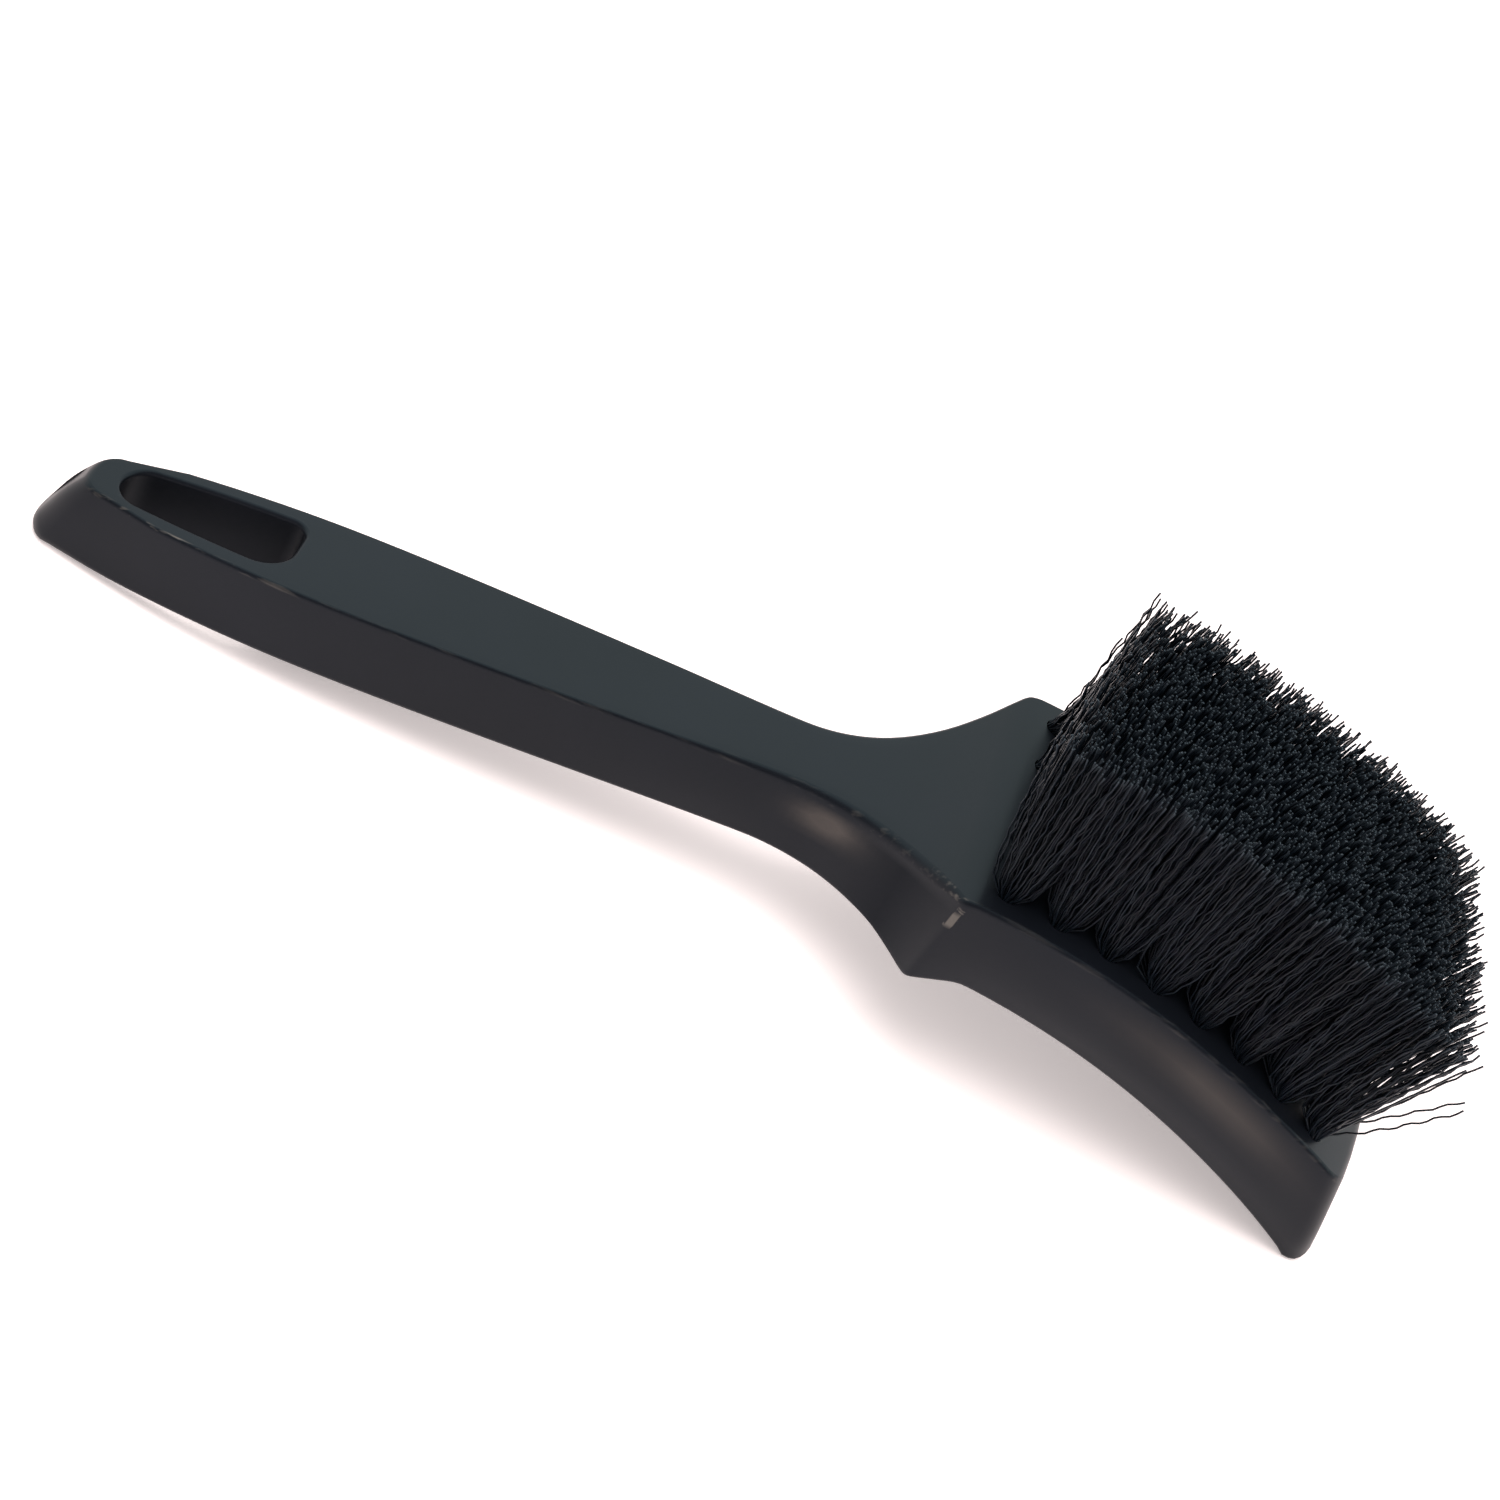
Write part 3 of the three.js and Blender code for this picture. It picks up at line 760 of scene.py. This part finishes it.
    # The crimp: a flat wave in a direction of the filament's own.
    phase = math_node("MULTIPLY", math_node("DIVIDE", height, size["Crimp Pitch"]), math.tau)
    wave = math_node("SINE", math_node("ADD", phase, chance(0, math.tau, 5)))
    grip = math_node("MINIMUM", math_node("MULTIPLY", math_node("MAXIMUM", clear, 0), 8), 1)
    wave = math_node("MULTIPLY", math_node("MULTIPLY", wave, size["Crimp Height"]), grip)
    facing = chance(0, math.tau, 6)
    east = math_node("ADD", east, math_node("MULTIPLY", wave, math_node("COSINE", facing)))
    north = math_node("ADD", north, math_node("MULTIPLY", wave, math_node("SINE", facing)))

    shaped = add(
        tree,
        "GeometryNodeSetPosition",
        {"Geometry": curves.outputs[0], "Position": vector(east, north, height)},
    )
    named = shaped.outputs[0]
    for name, value in (("along", clear), ("shade", chance(0, 1, 7))):
        made = add(
            tree,
            "GeometryNodeStoreNamedAttribute",
            {"Geometry": named, "Name": name, "Value": value},
            data_type="FLOAT",
            domain="POINT",
        )
        named = made.outputs[0]
    section = add(
        tree,
        "GeometryNodeCurvePrimitiveCircle",
        {"Resolution": 3, "Radius": size["Filament Radius"]},
    )
    strands = add(
        tree,
        "GeometryNodeCurveToMesh",
        {"Curve": named, "Profile Curve": section.outputs[0], "Fill Caps": True},
    )
    smooth = add(tree, "GeometryNodeSetShadeSmooth", {"Geometry": strands.outputs[0]})
    real = add(tree, "GeometryNodeRealizeInstances", {0: smooth.outputs[0]})
    coated = add(
        tree,
        "GeometryNodeSetMaterial",
        {"Geometry": real.outputs[0], "Material": size["Material"]},
    )
    add(tree, "NodeGroupOutput", {0: coated.outputs[0]})
    return tree


def grown_tuft(tree, name, place, material, **sizes):
    """Runs the tree with these inputs and stands the result in its hole."""
    stand = bpy.data.objects.new(name, bpy.data.meshes.new(name))
    bpy.context.scene.collection.objects.link(stand)
    growth = stand.modifiers.new("filaments", "NODES")
    growth.node_group = tree
    sizes["Material"] = material
    for item in tree.interface.items_tree:
        wanted = item.name.replace(" ", "_")
        if item.in_out == "INPUT" and wanted in sizes:
            growth[item.identifier] = sizes[wanted]
    piece = baked(stand, name, material)
    metres = Matrix.Translation(place.translation * MM) @ place.to_3x3().to_4x4()
    piece.data.transform(metres)
    return piece


def tufts(places, material):
    """All the tufts: the tips at both ends of each row gather inwards, and a few filaments stray."""
    tree = tuft_tree()
    loose = {
        (1, TUFTS_IN_ROW): {"Loose_Filaments": 2, "Loose_Along": 15 * MM, "Loose_Rise": -8 * MM},
        (ROWS, 1): {"Loose_Filaments": 2, "Loose_Along": -7 * MM, "Loose_Rise": 4 * MM},
    }
    for (row, number), place in places.items():
        label = f"row{row}_{number}"
        share = (number - 1) / (TUFTS_IN_ROW - 1)
        lean = FIRST_LEAN[row - 1] * (1 - share) + LAST_LEAN[row - 1] * share
        piece = grown_tuft(
            tree,
            f"bristles_{label}",
            place,
            material,
            Seed=100 * row + 10 * number,
            Free_Length=(BRISTLE_LONG * (1 - share) + BRISTLE_SHORT * share) * MM,
            Lean_Along=lean * MM,
            Lean_Across=GATHER * ((ROWS + 1) / 2 - row) * MM,
            **loose.get((row, number), {}),
        )
        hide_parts(f"tuft_{label}")
        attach(piece, "root")


# ---------------------------------------------------------------- anchors
def wire_anchors(row, places, material):
    """The anchors of one inner row: short pieces of flat wire with eased edges."""
    bm = bmesh.new()
    for place in places:
        spot = place @ Matrix.Translation((0, 0, -ANCHOR_DEPTH)) @ Matrix.Diagonal((*ANCHOR_SIZE, 1))
        bmesh.ops.create_cube(bm, size=1, matrix=spot)
    bmesh.ops.bevel(bm, geom=bm.edges[:], offset=0.1, segments=2, affect="EDGES")
    bm.transform(Matrix.Scale(MM, 4))
    name = f"anchors_row{row}"
    piece = finished(name, mesh_from(bm, name), material)
    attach(piece, "root")


# ---------------------------------------------------------------- stage
def aim_camera():
    """The camera's place: in front of the handle, looking down, and rolled."""
    azimuth, elevation, roll = (math.radians(a) for a in (-3.743, 36.869, 28.854))
    target = Vector((-1.13, 0, 23.9)) * MM
    distance = 600 * MM
    back = Vector(
        (
            math.sin(azimuth) * math.cos(elevation),
            -math.cos(azimuth) * math.cos(elevation),
            math.sin(elevation),
        )
    )
    right = Vector((0, 0, 1)).cross(back).normalized()
    up = back.cross(right)
    rolled_right = math.cos(roll) * right + math.sin(roll) * up
    rolled_up = back.cross(rolled_right)
    data = bpy.data.cameras.new("camera")
    data.sensor_width = 36
    data.lens = 86.3
    data.clip_start = 0.01
    camera = bpy.data.objects.new("camera", data)
    turn = Matrix((rolled_right, rolled_up, back)).transposed().to_4x4()
    camera.matrix_world = Matrix.Translation(target + back * distance) @ turn
    bpy.context.scene.collection.objects.link(camera)
    bpy.context.scene.camera = camera


def pale_floor():
    """A wide, pale table under the brush."""
    bm = bmesh.new()
    bmesh.ops.create_grid(bm, x_segments=1, y_segments=1, size=3)
    floor = finished("floor", mesh_from(bm, "floor"), None)
    material, tree, shader = new_material("pale_table")
    shader.inputs["Base Color"].default_value = colour("#f4e8e6")
    shader.inputs["Roughness"].default_value = 0.8
    # A lit table: it glows a little, so shadows on it stay pale.
    shader.inputs["Emission Color"].default_value = (1, 0.92, 0.91, 1)
    shader.inputs["Emission Strength"].default_value = 0.36
    floor.data.materials.append(material)


def area_light(name, place, size, power, tint, target=(0.03, 0, 0.02)):
    """A soft panel of light that isn't mirrored in the brush."""
    data = bpy.data.lights.new(name, "AREA")
    data.shape = "RECTANGLE"
    data.size, data.size_y = size
    data.energy = power
    data.color = tint
    light = bpy.data.objects.new(name, data)
    light.location = place
    light.visible_glossy = False
    light.rotation_euler = (Vector(target) - Vector(place)).to_track_quat("-Z", "Y").to_euler()
    bpy.context.scene.collection.objects.link(light)


def soft_studio():
    """An even white room for the light, and a dome of soft panels for what the sheen mirrors."""
    world = bpy.data.worlds.new("studio")
    world.use_nodes = True
    tree = world.node_tree
    tree.nodes.clear()
    look = add(tree, "ShaderNodeTexCoord").outputs["Generated"]
    axes = add(tree, "ShaderNodeSeparateXYZ", {0: look}).outputs
    front = add(tree, "ShaderNodeMath", {0: axes["Y"], 1: -1}, operation="MULTIPLY").outputs[0]
    climb = add(tree, "ShaderNodeMath", {0: axes["Z"], 1: front}, operation="ARCTAN2").outputs[0]
    share = add(tree, "ShaderNodeMath", {0: climb, 1: math.pi}, operation="DIVIDE").outputs[0]
    # From the near horizon, over the top, to the far horizon.
    dome = add(tree, "ShaderNodeValToRGB", {"Fac": share})
    stops = dome.color_ramp.elements
    for degrees, tint in (
        (0, (2.4, 2.15, 2.1, 1)),
        (12, (2.4, 2.15, 2.1, 1)),
        (26, (0.14, 0.14, 0.15, 1)),
        (80, (0.23, 0.24, 0.26, 1)),
        (100, (1.74, 2.32, 2.3, 1)),
        (180, (1.74, 2.6, 2.5, 1)),
    ):
        stop = stops.new(degrees / 180)
        stop.color = tint
    ray = add(tree, "ShaderNodeLightPath").outputs
    mirrored = add(tree, "ShaderNodeBackground", {"Color": dome.outputs["Color"]})
    ambient = add(tree, "ShaderNodeBackground", {"Color": (1, 0.99, 0.99, 1), "Strength": 1.05})
    backdrop = add(tree, "ShaderNodeBackground", {"Color": (1, 1, 1, 1), "Strength": 1.2})
    both = {0: ray["Is Glossy Ray"], 1: ambient.outputs[0], 2: mirrored.outputs[0]}
    light = add(tree, "ShaderNodeMixShader", both)
    whole = {0: ray["Is Camera Ray"], 1: light.outputs[0], 2: backdrop.outputs[0]}
    add(tree, "ShaderNodeOutputWorld", {"Surface": add(tree, "ShaderNodeMixShader", whole).outputs[0]})
    bpy.context.scene.world = world
    area_light("overhead", (0.08, -0.12, 1.0), (1.2, 0.9), 12, (1, 0.98, 0.97))
    bpy.context.scene.view_settings.view_transform = "Standard"


aim_camera()
pale_floor()
soft_studio()

polypropylene = satin_polypropylene()
filament = crimped_filament()
wire = drawn_wire()

places = {
    (row, number): tuft_frame(f"tuft_row{row}_{number}")
    for row in range(1, ROWS + 1)
    for number in range(1, TUFTS_IN_ROW + 1)
}

body = moulding(places.values(), polypropylene)
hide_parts("handle_block")
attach(body, "root")

tufts(places, filament)

for row in range(2, ROWS):
    wire_anchors(row, [places[row, n] for n in range(1, TUFTS_IN_ROW + 1)], wire)
for name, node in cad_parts.items():
    if name.startswith("anchor_"):
        node.data.materials.clear()
        node.data.materials.append(wire)
